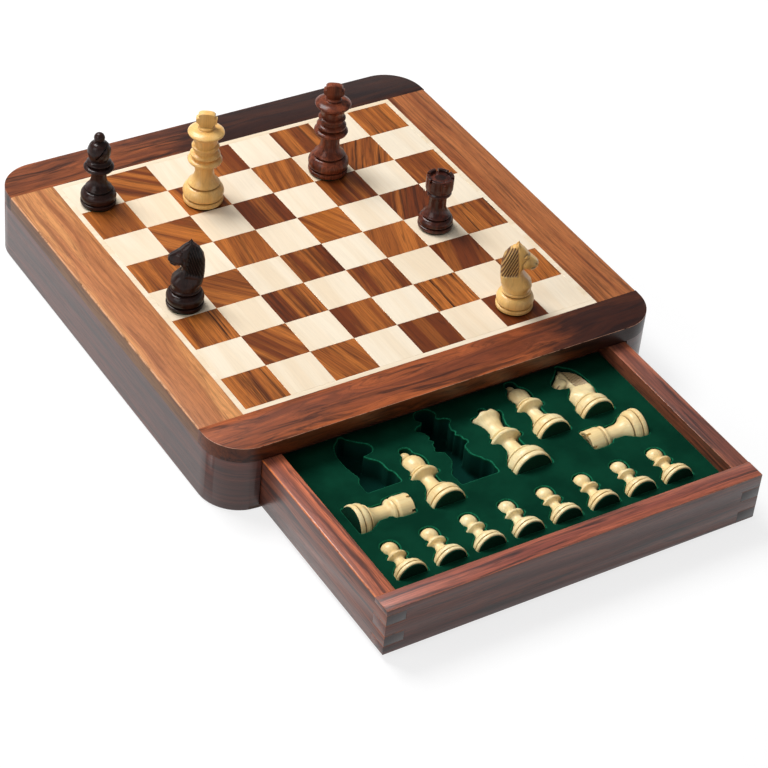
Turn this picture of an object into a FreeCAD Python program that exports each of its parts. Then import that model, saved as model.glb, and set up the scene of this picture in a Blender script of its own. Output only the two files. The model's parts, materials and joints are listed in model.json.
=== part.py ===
import FreeCAD, Part
import math
import os
from collections import namedtuple

# Chess box with drawers, in millimetres.
# The origin is the centre of the case's underside, +Z is up, -Y is the front.
# A flat rosewood case carries the inlaid board on top. Two short drawers, one from the
# front and one from the back, meet at a divider in the middle. Each drawer holds one
# colour of men, lying in a velvet tray. The front drawer stands open and the rear one shut.

# ---- playing board: files a to h from the left, ranks 1 to 8 from the front ----
FILES = "abcdefgh"
RANKS = "12345678"
SQUARE = 29.5
SQUARE_T = 3.0
STRINGING_W = 3.5
RAIL_W = 28.5
TOP_T = 10.0

# ---- case ----
CASE_H = 46.0
WALL_T = 25.0
CORNER_R = 25.0
BASE_T = 3.0
BASE_REBATE = 6.0
DIVIDER_T = 3.0

# ---- drawers ----
DRAWER_SIDE_CLEAR = 0.5
DRAWER_FLOOR_CLEAR = 0.3
DRAWER_TOP_CLEAR = 0.7
DRAWER_END_CLEAR = 0.5
DRAWER_SIDE_T = 12.5
DRAWER_FRONT_T = 12.5
DRAWER_BACK_T = 5.0
DRAWER_BOTTOM_T = 2.5
BOTTOM_RECESS = 0.5
BOTTOM_GROOVE = 3.0
FRONT_DRAWER_OPEN = 133.5

# finger joints between the drawer's front and its sides, measured down from the rim
FINGER_H = 7.5
LEFT_FINGER_START = 3.4
RIGHT_FINGER_START = 8.6

# ---- velvet tray ----
TRAY_DROP = 9.6
TRAY_FIT = 0.2
SLOT_CLEAR = 0.5
FOOT_ROOM = 2.5
LIE_TILT = 3.0

# ---- chessmen ----
PAD_T = 0.8
PAD_INSET = 0.8
EDGE = 0.6

# A turned man: the drum is its round foot, the shoulder ends the swelling above it, the
# waist is the thinnest part of the stem, and the collar is the large ring under the head.
# A tall man has a smaller ring, ring_d wide, ring_up above the collar's middle.
Man = namedtuple(
    "Man",
    "height base_d drum_h shoulder_d shoulder_z waist_d waist_z"
    " collar_d collar_z collar_t throat_d head_d head_z ring_d ring_up",
    defaults=(0.0, 0.0),
)
KING = Man(
    height=64.5, base_d=25.0, drum_h=5.0, shoulder_d=19.0, shoulder_z=15.0,
    waist_d=11.5, waist_z=26.0, collar_d=21.0, collar_z=31.0, collar_t=3.0,
    throat_d=15.0, head_d=22.5, head_z=50.5, ring_d=18.4, ring_up=4.4,
)
QUEEN = Man(
    height=58.0, base_d=25.5, drum_h=5.0, shoulder_d=19.0, shoulder_z=14.0,
    waist_d=11.0, waist_z=25.0, collar_d=21.0, collar_z=30.0, collar_t=3.0,
    throat_d=12.5, head_d=20.0, head_z=50.0, ring_d=17.6, ring_up=4.2,
)
BISHOP = Man(
    height=51.5, base_d=22.0, drum_h=4.0, shoulder_d=15.5, shoulder_z=12.5,
    waist_d=9.5, waist_z=22.5, collar_d=18.4, collar_z=27.5, collar_t=2.6,
    throat_d=11.0, head_d=14.2, head_z=37.5, ring_d=15.4, ring_up=3.4,
)
ROOK = Man(
    height=37.5, base_d=22.0, drum_h=4.0, shoulder_d=16.5, shoulder_z=10.5,
    waist_d=10.6, waist_z=20.5, collar_d=15.4, collar_z=26.0, collar_t=2.0,
    throat_d=14.6, head_d=17.2, head_z=35.5,
)
PAWN = Man(
    height=30.0, base_d=19.5, drum_h=3.0, shoulder_d=12.5, shoulder_z=8.5,
    waist_d=7.0, waist_z=13.5, collar_d=12.4, collar_z=17.5, collar_t=1.6,
    throat_d=7.0, head_d=10.6, head_z=24.7,
)
KNIGHT = Man(
    height=47.5, base_d=22.5, drum_h=4.0, shoulder_d=18.5, shoulder_z=12.0,
    waist_d=17.0, waist_z=13.5, collar_d=17.0, collar_z=14.0, collar_t=1.0,
    throat_d=17.0, head_d=22.0, head_z=36.0,
)

# king's cross
CROSS_W = 13.0
CROSS_FOOT_W = 9.0
CROSS_NECK_W = 10.6
CROSS_T = 5.0
CROSS_FOOT_D = 10.0
CROWN_DOME_H = 3.2
# queen's coronet
CORONET_LIP = 2.0
CORONET_DISH = 2.2
QUEEN_BALL_D = 5.0
# bishop's mitre
FINIAL_D = 6.8
FINIAL_NECK_D = 4.4
MITRE_CUT_W = 1.3
MITRE_CUT_ANGLE = 50.0
# rook's tower
TOWER_WALL = 2.4
TOWER_DEPTH = 3.2
CRENEL_W = 2.2
CRENEL_COUNT = 6
# knight's head, side view: points forward of the axis and up from the foot
NOSE_REACH = 11.0
MUZZLE_H = 32.0
MANE_REACH = 10.5
CHEST_REACH = 8.8
EAR_BACK = 0.5
HEAD_FOOT_T = 15.0
HEAD_TOP_T = 7.0

# ---- where the men stand on the board ----
# aside (to the right) and ahead (to the back): how far he was set down off his square's middle
Standing = namedtuple("Standing", "kind square aside ahead turn")
BOARD_MEN = {
    "white_king": Standing(kind="king", square="c7", aside=0.5, ahead=-3.0, turn=57.0),
    "white_knight_1": Standing(kind="knight", square="g1", aside=-0.5, ahead=0.5, turn=-33.0),
    "black_king": Standing(kind="king", square="f7", aside=-1.0, ahead=-7.5, turn=57.0),
    "black_rook_1": Standing(kind="rook", square="g4", aside=0.0, ahead=1.5, turn=15.0),
    "black_knight_1": Standing(kind="knight", square="a4", aside=-0.5, ahead=-3.5, turn=147.0),
    "black_bishop_1": Standing(kind="bishop", square="a8", aside=-0.5, ahead=-8.5, turn=0.0),
}

# ---- how the men lie in a tray, seen from the drawer's face ----
# Distances across are from the drawer's centre line, and back from its face.
PAWN_PITCH = 25.5
PAWN_ROW_SHIFT = -2.0
PAWN_FOOT_BACK = 25.5
PAWN_SINK = 2.0
PIECE_SINK = 2.5
ROYAL_SINK = 3.5
LEFT_ROOK_FOOT_ACROSS = -100.0
RIGHT_ROOK_FOOT_ACROSS = 96.0
ROOK_BACK = 77.5
LEFT_KNIGHT_ACROSS = -68.0
RIGHT_KNIGHT_ACROSS = 79.0
LEFT_BISHOP_ACROSS = -42.0
LEFT_BISHOP_FOOT_BACK = 66.0
RIGHT_BISHOP_ACROSS = 45.5
KING_ACROSS = -15.0
QUEEN_ACROSS = 17.5
QUEEN_FOOT_BACK = 70.0
HEAD_WALL = 1.0

# which man lies in which slot; the other slots are empty, their men stand on the board
WHITE_IN_TRAY = {
    "white_rook_1": "rook_left",
    "white_bishop_1": "bishop_left",
    "white_queen": "queen",
    "white_bishop_2": "bishop_right",
    "white_knight_2": "knight_right",
    "white_rook_2": "rook_right",
}
BLACK_IN_TRAY = {
    "black_rook_2": "rook_right",
    "black_knight_2": "knight_right",
    "black_bishop_2": "bishop_right",
    "black_queen": "queen",
}
for rank in RANKS:
    WHITE_IN_TRAY[f"white_pawn_{rank}"] = f"pawn_{rank}"
    BLACK_IN_TRAY[f"black_pawn_{rank}"] = f"pawn_{rank}"

# ---- worked out from the values above ----
FIELD = len(FILES) * SQUARE
INLAY = FIELD + 2 * STRINGING_W
CASE = INLAY + 2 * RAIL_W
HALF = CASE / 2
TOP_Z = CASE_H
BAY_TOP = CASE_H - TOP_T
BAY_W = CASE - 2 * WALL_T
DRAWER_W = BAY_W - 2 * DRAWER_SIDE_CLEAR
DRAWER_Z = BASE_T + DRAWER_FLOOR_CLEAR
RIM_Z = BAY_TOP - DRAWER_TOP_CLEAR
DRAWER_H = RIM_Z - DRAWER_Z
DRAWER_L = HALF - DIVIDER_T / 2 - DRAWER_END_CLEAR
BOTTOM_Z = DRAWER_Z + BOTTOM_RECESS
TRAY_Z = BOTTOM_Z + DRAWER_BOTTOM_T
VELVET_Z = RIM_Z - TRAY_DROP
TRAY_W = DRAWER_W - 2 * DRAWER_SIDE_T - 2 * TRAY_FIT
TRAY_FRONT = DRAWER_FRONT_T + TRAY_FIT
TRAY_L = DRAWER_L - DRAWER_FRONT_T - DRAWER_BACK_T - 2 * TRAY_FIT

# the heads of the back row end just short of the drawer's back board
HEAD_LINE = DRAWER_L - DRAWER_BACK_T - TRAY_FIT - HEAD_WALL - SLOT_CLEAR

# heading: the way the head points, 90 is into the case; sink: how far the axis lies
# under the velvet; roll: turn about the man's own axis, which sets where a knight looks
Slot = namedtuple("Slot", "kind across back heading sink roll")
INTO_CASE = 90.0
LOOK_RIGHT = -90.0
LOOK_LEFT = 90.0
SLOTS = {
    "rook_left": Slot("rook", LEFT_ROOK_FOOT_ACROSS, ROOK_BACK, 0.0, PIECE_SINK, 0.0),
    "rook_right": Slot("rook", RIGHT_ROOK_FOOT_ACROSS, ROOK_BACK, 180.0, PIECE_SINK, 0.0),
    "knight_left": Slot(
        "knight", LEFT_KNIGHT_ACROSS, HEAD_LINE - KNIGHT.height, INTO_CASE, PIECE_SINK, LOOK_RIGHT
    ),
    "knight_right": Slot(
        "knight", RIGHT_KNIGHT_ACROSS, HEAD_LINE - KNIGHT.height, INTO_CASE, PIECE_SINK, LOOK_LEFT
    ),
    "bishop_left": Slot(
        "bishop", LEFT_BISHOP_ACROSS, LEFT_BISHOP_FOOT_BACK, INTO_CASE, PIECE_SINK, 0.0
    ),
    "bishop_right": Slot(
        "bishop", RIGHT_BISHOP_ACROSS, HEAD_LINE - BISHOP.height, INTO_CASE, PIECE_SINK, 0.0
    ),
    "king": Slot("king", KING_ACROSS, HEAD_LINE - KING.height, INTO_CASE, ROYAL_SINK, 0.0),
    "queen": Slot("queen", QUEEN_ACROSS, QUEEN_FOOT_BACK, INTO_CASE, ROYAL_SINK, 0.0),
}
pawn_across = PAWN_ROW_SHIFT - (len(RANKS) - 1) * PAWN_PITCH / 2
for rank in RANKS:
    SLOTS[f"pawn_{rank}"] = Slot("pawn", pawn_across, PAWN_FOOT_BACK, INTO_CASE, PAWN_SINK, 0.0)
    pawn_across += PAWN_PITCH

UP = FreeCAD.Vector(0, 0, 1)
ALONG_X = FreeCAD.Vector(1, 0, 0)
CENTRE = FreeCAD.Vector(0, 0, 0)


def box(x, y, z, length, width, height):
    """A box from its low corner."""
    return Part.makeBox(length, width, height, FreeCAD.Vector(x, y, z))


def polygon(points):
    """A flat face from corner points."""
    vectors = [FreeCAD.Vector(*p) for p in points]
    return Part.Face(Part.makePolygon(vectors + vectors[:1]))


def save(name, solids):
    """Write one node's solids to its file."""
    shape = solids[0] if len(solids) == 1 else Part.makeCompound(solids)
    shape.exportStep(f"parts/{name}.step")


# ---- case and board ----
def rounded_case(z, height):
    """The case's outline, a square with round corners, as a slab."""
    slab = box(-HALF, -HALF, z, CASE, CASE, height)
    corners = [e for e in slab.Edges if e.BoundBox.ZLength > height / 2]
    return slab.makeFillet(CORNER_R, corners)


def long_rail(side):
    """The front (-1) or back (1) rail of the top: full width, with the round corners."""
    y = INLAY / 2 if side > 0 else -HALF
    return box(-HALF, y, BAY_TOP, CASE, RAIL_W, TOP_T).common(rounded_case(BAY_TOP, TOP_T))


def short_rail(side):
    """The left (-1) or right (1) rail, butted between the long rails."""
    x = INLAY / 2 if side > 0 else -HALF
    return box(x, -INLAY / 2, BAY_TOP, RAIL_W, INLAY, TOP_T)


def board_core():
    """The panel inside the rails that carries the squares and roofs the drawers."""
    return box(-INLAY / 2, -INLAY / 2, BAY_TOP, INLAY, INLAY, TOP_T - SQUARE_T)


def square_corner(name):
    """The low corner of a square, such as a1, as x and y."""
    file = FILES.index(name[0])
    rank = RANKS.index(name[1])
    return file * SQUARE - FIELD / 2, rank * SQUARE - FIELD / 2


def squares(dark):
    """The 32 squares of one colour. Square a1, at the left of the front, is dark."""
    found = []
    for file in FILES:
        for rank in RANKS:
            if ((FILES.index(file) + RANKS.index(rank)) % 2 == 0) == dark:
                x, y = square_corner(file + rank)
                found.append(box(x, y, TOP_Z - SQUARE_T, SQUARE, SQUARE, SQUARE_T))
    return found


def stringing():
    """Four maple strips round the squares; the front and back ones run full length."""
    z = TOP_Z - SQUARE_T
    strips = []
    for side in (-INLAY / 2, FIELD / 2):
        strips.append(box(-INLAY / 2, side, z, INLAY, STRINGING_W, SQUARE_T))
        strips.append(box(side, -FIELD / 2, z, STRINGING_W, FIELD, SQUARE_T))
    return strips


def base_panel():
    """The thin panel under the drawers, let into rebates in both walls."""
    width = BAY_W + 2 * BASE_REBATE
    return box(-width / 2, -HALF, 0, width, CASE, BASE_T)


def wall(side):
    """A thick side wall, rounded at both ends, with a rebate for the base panel."""
    x = HALF - WALL_T if side > 0 else -HALF
    bar = box(x, -HALF, 0, WALL_T, CASE, BAY_TOP).common(rounded_case(0, BAY_TOP))
    return bar.cut(base_panel())


def divider():
    """The upright between the two drawers, which also stops them."""
    return box(-BAY_W / 2, -DIVIDER_T / 2, BASE_T, BAY_W, DIVIDER_T, BAY_TOP - BASE_T)


# ---- drawers, drawn shut at the front: the drawer's face lies at the case's front ----
def drawer_bottom():
    """The thin bottom panel, held in grooves on all four sides."""
    width = DRAWER_W - 2 * (DRAWER_SIDE_T - BOTTOM_GROOVE)
    y = -HALF + DRAWER_FRONT_T - BOTTOM_GROOVE
    length = DRAWER_L - DRAWER_FRONT_T - DRAWER_BACK_T + 2 * BOTTOM_GROOVE
    return box(-width / 2, y, BOTTOM_Z, width, length, DRAWER_BOTTOM_T)


def fingers(side):
    """The blocks of the side boards that pass through the front at one corner."""
    start = LEFT_FINGER_START if side < 0 else RIGHT_FINGER_START
    x = DRAWER_W / 2 - DRAWER_SIDE_T if side > 0 else -DRAWER_W / 2
    blocks = []
    down = start
    while down + FINGER_H < DRAWER_H:
        z = RIM_Z - down - FINGER_H
        blocks.append(box(x, -HALF, z, DRAWER_SIDE_T, DRAWER_FRONT_T, FINGER_H))
        down += 2 * FINGER_H
    return blocks


def drawer_front():
    """The drawer's face board, notched for the fingers."""
    board = box(-DRAWER_W / 2, -HALF, DRAWER_Z, DRAWER_W, DRAWER_FRONT_T, DRAWER_H)
    return board.cut(fingers(-1) + fingers(1) + [drawer_bottom()])


def drawer_side(side):
    """A side board with its fingers, grooved for the bottom."""
    x = DRAWER_W / 2 - DRAWER_SIDE_T if side > 0 else -DRAWER_W / 2
    length = DRAWER_L - DRAWER_FRONT_T
    board = box(x, -HALF + DRAWER_FRONT_T, DRAWER_Z, DRAWER_SIDE_T, length, DRAWER_H)
    return board.fuse(fingers(side)).removeSplitter().cut(drawer_bottom())


def drawer_back():
    """The thin back board between the sides."""
    width = DRAWER_W - 2 * DRAWER_SIDE_T
    y = -HALF + DRAWER_L - DRAWER_BACK_T
    board = box(-width / 2, y, DRAWER_Z, width, DRAWER_BACK_T, DRAWER_H)
    return board.cut(drawer_bottom())


def velvet_tray():
    """The fitted tray: a block with a scalloped slot for each man."""
    block = box(-TRAY_W / 2, TRAY_FRONT - HALF, TRAY_Z, TRAY_W, TRAY_L, VELVET_Z - TRAY_Z)
    return block.cut([slot_hollow(slot) for slot in SLOTS.values()])


def drawer_parts():
    """All the pieces of one drawer by name, shut at the front."""
    return {
        "face": drawer_front(),
        "left_side": drawer_side(-1),
        "right_side": drawer_side(1),
        "back": drawer_back(),
        "bottom": drawer_bottom(),
        "tray": velvet_tray(),
    }


# ---- chessmen, standing on z = 0 at the origin, looking along +X ----
def spun(outline):
    """A solid of revolution about Z from (radius, height) points."""
    points = [(r, 0, z) for r, z in outline]
    return polygon(points).revolve(CENTRE, UP, 360)


def stem(man):
    """Outline points from the foot up to the throat, above the collar and its ring."""
    foot = man.base_d / 2
    collar = man.collar_d / 2
    ring = man.collar_t / 2
    points = [
        (0, PAD_T),
        (foot - EDGE, PAD_T),
        (foot, PAD_T + EDGE),
        (foot, man.drum_h),
        (foot - EDGE, man.drum_h + EDGE),
        ((man.base_d + man.shoulder_d) / 4 + EDGE, (man.drum_h + man.shoulder_z) / 2),
        (man.shoulder_d / 2, man.shoulder_z),
        (man.waist_d / 2, man.waist_z),
        (collar - EDGE, man.collar_z - ring),
        (collar, man.collar_z - ring + EDGE),
        (collar, man.collar_z + ring - EDGE),
        (collar - EDGE, man.collar_z + ring),
        (man.throat_d / 2, man.collar_z + ring + EDGE),
    ]
    if man.ring_d:
        ring_z = man.collar_z + man.ring_up
        points.append((man.throat_d / 2, ring_z - 2 * EDGE))
        points.append((man.ring_d / 2, ring_z))
        points.append((man.throat_d / 2, ring_z + 2 * EDGE))
    return points


def ball(diameter, z):
    """A ball on the axis."""
    return Part.makeSphere(diameter / 2, FreeCAD.Vector(0, 0, z))


def king():
    rim = KING.head_d / 2
    dome_z = KING.head_z + CROWN_DOME_H
    crown = [
        (KING.throat_d / 2, KING.head_z - KING.head_d / 3),
        (rim, KING.head_z - EDGE),
        (rim, KING.head_z + EDGE),
        (CROSS_FOOT_D / 2, dome_z),
        (0, dome_z),
    ]
    height = KING.height - dome_z
    outline = [
        (CROSS_FOOT_W / 2, 0),
        (CROSS_NECK_W / 2, height / 4),
        (CROSS_W / 2, height / 2),
        (CROSS_W / 2, height * 3 / 4),
        (CROSS_FOOT_W / 2, height),
    ]
    right = [(0, y, dome_z + z) for y, z in outline]
    left = [(0, -y, dome_z + z) for y, z in reversed(outline)]
    cross = polygon(right + left).extrude(ALONG_X * CROSS_T)
    cross.translate(ALONG_X * (-CROSS_T / 2))
    return spun(stem(KING) + crown).fuse(cross).removeSplitter()


def queen():
    rim = QUEEN.head_d / 2
    ball_z = QUEEN.height - QUEEN_BALL_D / 2
    crown = [
        (QUEEN.throat_d / 2, QUEEN.head_z - QUEEN.head_d / 2),
        (rim, QUEEN.head_z),
        (rim, QUEEN.head_z + CORONET_LIP),
        (rim - CORONET_LIP, QUEEN.head_z + CORONET_LIP),
        (rim - 2 * CORONET_LIP, QUEEN.head_z + CORONET_LIP - CORONET_DISH),
        (QUEEN_BALL_D / 2, ball_z),
        (0, ball_z),
    ]
    return spun(stem(QUEEN) + crown).fuse(ball(QUEEN_BALL_D, ball_z))


def bishop():
    finial_z = BISHOP.height - FINIAL_D / 2
    neck_z = finial_z - FINIAL_D / 3
    head = BISHOP.head_d / 2
    mitre = [
        (head, BISHOP.head_z),
        (head - EDGE, (BISHOP.head_z + neck_z) / 2),
        (FINIAL_NECK_D / 2, neck_z),
        (FINIAL_NECK_D / 2, finial_z),
        (0, finial_z),
    ]
    body = spun(stem(BISHOP) + mitre).fuse(ball(FINIAL_D, finial_z))
    blade = box(0, -BISHOP.head_d, -MITRE_CUT_W / 2, BISHOP.head_d, 2 * BISHOP.head_d, MITRE_CUT_W)
    blade.rotate(CENTRE, FreeCAD.Vector(0, -1, 0), MITRE_CUT_ANGLE)
    blade.translate(UP * BISHOP.head_z)
    return body.cut(blade)


def rook():
    head = ROOK.head_d / 2
    inner = head - TOWER_WALL
    floor_z = ROOK.height - TOWER_DEPTH
    tower = [
        (head, ROOK.head_z),
        (head, ROOK.height),
        (inner, ROOK.height),
        (inner, floor_z),
        (0, floor_z),
    ]
    body = spun(stem(ROOK) + tower)
    notches = []
    for n in range(CRENEL_COUNT // 2):
        notch = box(-head, -CRENEL_W / 2, floor_z, 2 * head, CRENEL_W, TOWER_DEPTH)
        notch.rotate(CENTRE, UP, n * 360 / CRENEL_COUNT)
        notches.append(notch)
    return body.cut(notches)


def pawn():
    ball_z = PAWN.height - PAWN.head_d / 2
    neck = [(PAWN.throat_d / 2, ball_z), (0, ball_z)]
    return spun(stem(PAWN) + neck).fuse(ball(PAWN.head_d, ball_z))


def knight():
    """A round foot under a carved head that looks along +X."""
    top = KNIGHT.collar_z + KNIGHT.collar_t / 2 + EDGE
    foot = spun(stem(KNIGHT) + [(0, top)])
    neck_z = (top + MUZZLE_H) / 2
    brow_z = (MUZZLE_H + KNIGHT.height) / 2
    side = [
        (-CHEST_REACH, top),
        (CHEST_REACH, top),
        (CHEST_REACH, neck_z - CHEST_REACH / 2),
        (EAR_BACK, neck_z + EDGE),
        (CHEST_REACH / 2, MUZZLE_H - CHEST_REACH / 2),
        (NOSE_REACH - EDGE, MUZZLE_H - CHEST_REACH / 3),
        (NOSE_REACH, MUZZLE_H),
        (NOSE_REACH / 2, brow_z),
        (EAR_BACK, KNIGHT.height - EDGE),
        (-EAR_BACK, KNIGHT.height),
        (-MANE_REACH / 2, brow_z + EDGE),
        (-MANE_REACH, MUZZLE_H - EDGE),
        (-MANE_REACH, neck_z),
    ]
    head = polygon([(x, 0, z) for x, z in side])
    head = head.extrude(FreeCAD.Vector(0, HEAD_FOOT_T, 0))
    head.translate(FreeCAD.Vector(0, -HEAD_FOOT_T / 2, 0))
    front = [
        (0, -HEAD_FOOT_T / 2, top),
        (0, HEAD_FOOT_T / 2, top),
        (0, HEAD_TOP_T / 2, KNIGHT.height),
        (0, -HEAD_TOP_T / 2, KNIGHT.height),
    ]
    wedge = polygon(front).extrude(ALONG_X * 2 * KNIGHT.base_d)
    wedge.translate(ALONG_X * -KNIGHT.base_d)
    blank = Part.makeCylinder(KNIGHT.head_d / 2, KNIGHT.height)
    return foot.fuse(head.common(wedge).common(blank)).removeSplitter()


MEN = {"king": KING, "queen": QUEEN, "bishop": BISHOP, "rook": ROOK, "pawn": PAWN, "knight": KNIGHT}
BODIES = {
    "king": king(),
    "queen": queen(),
    "bishop": bishop(),
    "rook": rook(),
    "pawn": pawn(),
    "knight": knight(),
}


def man_solids(kind):
    """A man's turned body and the felt pad glued under it."""
    pad = Part.makeCylinder(MEN[kind].base_d / 2 - PAD_INSET, PAD_T)
    return [BODIES[kind].copy(), pad]


def standing(place):
    """A man's solids on their square."""
    solids = man_solids(place.kind)
    x, y = square_corner(place.square)
    x += SQUARE / 2 + place.aside
    y += SQUARE / 2 + place.ahead
    for solid in solids:
        solid.rotate(CENTRE, UP, place.turn)
        solid.translate(FreeCAD.Vector(x, y, TOP_Z))
    return solids


def lay(shape, slot):
    """Turn a standing shape to lie in its slot, in a drawer that is shut at the front."""
    shape.rotate(CENTRE, UP, slot.roll)
    shape.rotate(CENTRE, FreeCAD.Vector(0, 1, 0), 90 + LIE_TILT)
    shape.rotate(CENTRE, UP, slot.heading)
    shape.translate(FreeCAD.Vector(slot.across, slot.back - HALF, VELVET_Z - slot.sink))
    return shape


def slot_hollow(slot):
    """The scalloped hollow for one man: a trough under his axis, straight walls above."""
    man = MEN[slot.kind]
    ring = man.collar_t
    stops = [
        (-FOOT_ROOM, man.shoulder_z, man.base_d),
        (man.shoulder_z, man.collar_z - ring, max(man.shoulder_d, man.waist_d)),
        (man.collar_z - ring, man.collar_z + ring, max(man.collar_d, man.shoulder_d)),
        (man.collar_z + ring, man.height + SLOT_CLEAR, max(man.head_d, man.ring_d)),
    ]
    hollow = []
    for low, high, diameter in stops:
        radius = diameter / 2 + SLOT_CLEAR
        trough = Part.makeCylinder(radius, high - low, UP * low)
        # a standing man's back (-X) faces up once he is laid down
        walls = box(-2 * CASE_H, -radius, low, 2 * CASE_H, 2 * radius, high - low)
        hollow.append(trough.fuse(walls))
    whole = hollow[0].fuse(hollow[1:])
    unrolled = slot._replace(roll=0.0)
    return lay(whole, unrolled)


# ---- build ----
def case_nodes():
    """Every fixed piece of the case and board."""
    return {
        "board_core": [board_core()],
        "light_squares": squares(False),
        "dark_squares": squares(True),
        "maple_stringing": stringing(),
        "front_rail": [long_rail(-1)],
        "back_rail": [long_rail(1)],
        "left_rail": [short_rail(-1)],
        "right_rail": [short_rail(1)],
        "left_wall": [wall(-1)],
        "right_wall": [wall(1)],
        "base_panel": [base_panel()],
        "drawer_divider": [divider()],
    }


def drawer_nodes(which, men):
    """One drawer's boards, tray and men, placed as they rest."""
    nodes = {f"{which}_drawer_{name}": [shape] for name, shape in drawer_parts().items()}
    for name, where in men.items():
        slot = SLOTS[where]
        nodes[name] = [lay(solid, slot) for solid in man_solids(slot.kind)]
    for solids in nodes.values():
        for solid in solids:
            if which == "front":
                solid.translate(FreeCAD.Vector(0, -FRONT_DRAWER_OPEN, 0))
            else:
                solid.rotate(CENTRE, UP, 180)
    return nodes


def build():
    """Write every node."""
    os.makedirs("parts", exist_ok=True)
    nodes = case_nodes()
    nodes.update(drawer_nodes("front", WHITE_IN_TRAY))
    nodes.update(drawer_nodes("rear", BLACK_IN_TRAY))
    for name, place in BOARD_MEN.items():
        nodes[name] = standing(place)
    for name, solids in nodes.items():
        save(name, solids)


build()
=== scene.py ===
import json
import math
import random

import bmesh
import bpy
from mathutils import Matrix, Vector


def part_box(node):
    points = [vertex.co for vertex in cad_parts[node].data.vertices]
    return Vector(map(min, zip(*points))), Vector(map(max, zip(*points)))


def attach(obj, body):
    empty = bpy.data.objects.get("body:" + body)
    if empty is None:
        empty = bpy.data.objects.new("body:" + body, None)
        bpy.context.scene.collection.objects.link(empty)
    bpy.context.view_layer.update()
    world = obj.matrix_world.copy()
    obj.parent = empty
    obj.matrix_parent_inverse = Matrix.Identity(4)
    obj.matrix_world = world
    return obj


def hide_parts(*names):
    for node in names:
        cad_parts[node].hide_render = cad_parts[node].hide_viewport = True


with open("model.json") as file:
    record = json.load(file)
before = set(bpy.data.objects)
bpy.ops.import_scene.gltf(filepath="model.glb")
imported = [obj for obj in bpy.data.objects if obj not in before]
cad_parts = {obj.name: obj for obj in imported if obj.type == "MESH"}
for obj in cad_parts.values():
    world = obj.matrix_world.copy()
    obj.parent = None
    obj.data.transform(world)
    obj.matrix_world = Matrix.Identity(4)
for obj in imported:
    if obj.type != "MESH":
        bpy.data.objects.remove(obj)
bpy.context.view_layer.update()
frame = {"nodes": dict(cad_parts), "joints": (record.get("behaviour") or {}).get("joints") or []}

# ----------------------------------------
# Side walls. Two thick rosewood planks carry the board and guide the drawers. Their
# ends are worked to a quarter round, sanded and sealed with satin lacquer, and a
# rebate along the inner foot takes the thin base panel.
# ----------------------------------------


def tint(red, green, blue):
    """A paint-chart colour, 0 to 255, as the renderer wants it."""
    found = []
    for part in (red, green, blue):
        part /= 255
        found.append(part / 12.92 if part <= 0.04045 else ((part + 0.055) / 1.055) ** 2.4)
    return (*found, 1.0)


def take_up(piece):
    """Make one object the only one picked, and the one at work."""
    if bpy.context.object and bpy.context.object.mode != "OBJECT":
        bpy.ops.object.mode_set(mode="OBJECT")
    bpy.ops.object.select_all(action="DESELECT")
    bpy.context.view_layer.objects.active = piece
    piece.select_set(True)


def set_out(name, data):
    """A new object in the scene."""
    piece = bpy.data.objects.new(name, data)
    bpy.context.scene.collection.objects.link(piece)
    return piece


def down_tools():
    """Turn every face outwards and leave edit mode."""
    bpy.ops.mesh.select_all(action="SELECT")
    bpy.ops.mesh.normals_make_consistent(inside=False)
    bpy.ops.mesh.select_all(action="DESELECT")
    bpy.ops.object.mode_set(mode="OBJECT")


def cut_from(node, name):
    """A clean copy of a frame part, with its loose triangles welded into boards."""
    piece = set_out(name, frame["nodes"][node].data.copy())
    piece.data.materials.clear()
    take_up(piece)
    bpy.ops.object.mode_set(mode="EDIT")
    bpy.ops.mesh.select_all(action="SELECT")
    bpy.ops.mesh.remove_doubles(threshold=0.00001)
    bpy.ops.mesh.dissolve_limited(angle_limit=math.radians(0.5))
    down_tools()
    return piece


def ease(piece, width, segments=2, where=None):
    """Break the sharp arrises that `where` picks by their two ends."""
    take_up(piece)
    bpy.ops.object.mode_set(mode="EDIT")
    bpy.ops.mesh.select_mode(type="EDGE")
    bpy.ops.mesh.select_all(action="DESELECT")
    shape = bmesh.from_edit_mesh(piece.data)
    for edge in shape.edges:
        sharp = len(edge.link_faces) == 2 and edge.calc_face_angle(0) > math.radians(32)
        edge.select = sharp and (where is None or where(edge.verts[0].co, edge.verts[1].co))
    shape.select_flush(False)
    bmesh.update_edit_mesh(piece.data)
    bpy.ops.mesh.bevel(offset=width, offset_type="OFFSET", segments=segments, profile=0.5, clamp_overlap=True)
    bpy.ops.mesh.select_all(action="DESELECT")
    bpy.ops.object.mode_set(mode="OBJECT")


def finish_piece(piece, material, body, nodes, angle=35):
    """Smooth, colour and fit a piece: it rides on its body and stands for its nodes."""
    take_up(piece)
    bpy.ops.object.shade_smooth_by_angle(angle=math.radians(angle))
    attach(piece, body)
    if nodes:
        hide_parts(*nodes)
    stain(piece, material)


def stain(piece, material):
    piece.data.materials.clear()
    piece.data.materials.append(material)


def put(tree, kind, feeds=None, **look):
    """Add one node. Its feeds are plain values or other nodes' outputs, by name or place."""
    node = tree.nodes.new("ShaderNode" + kind)
    for word, value in look.items():
        setattr(node, word, value)
    for place, value in (feeds or {}).items():
        if isinstance(value, bpy.types.NodeSocket):
            tree.links.new(value, node.inputs[place])
        else:
            node.inputs[place].default_value = value
    return node


def reckon(tree, operation, *values, clamp=False):
    return put(tree, "Math", dict(enumerate(values)), operation=operation, use_clamp=clamp).outputs[0]


def rise(tree, value, low, high):
    """A soft step from 0 at low to 1 at high."""
    step = put(tree, "MapRange", {0: value, 1: low, 2: high}, interpolation_type="SMOOTHSTEP")
    return step.outputs[0]


def stretched(tree, vector, along, across):
    """The same place, squeezed along the grain and across it."""
    return put(tree, "VectorMath", {0: vector, 1: (along, across, across)}, operation="MULTIPLY").outputs[0]


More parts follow.
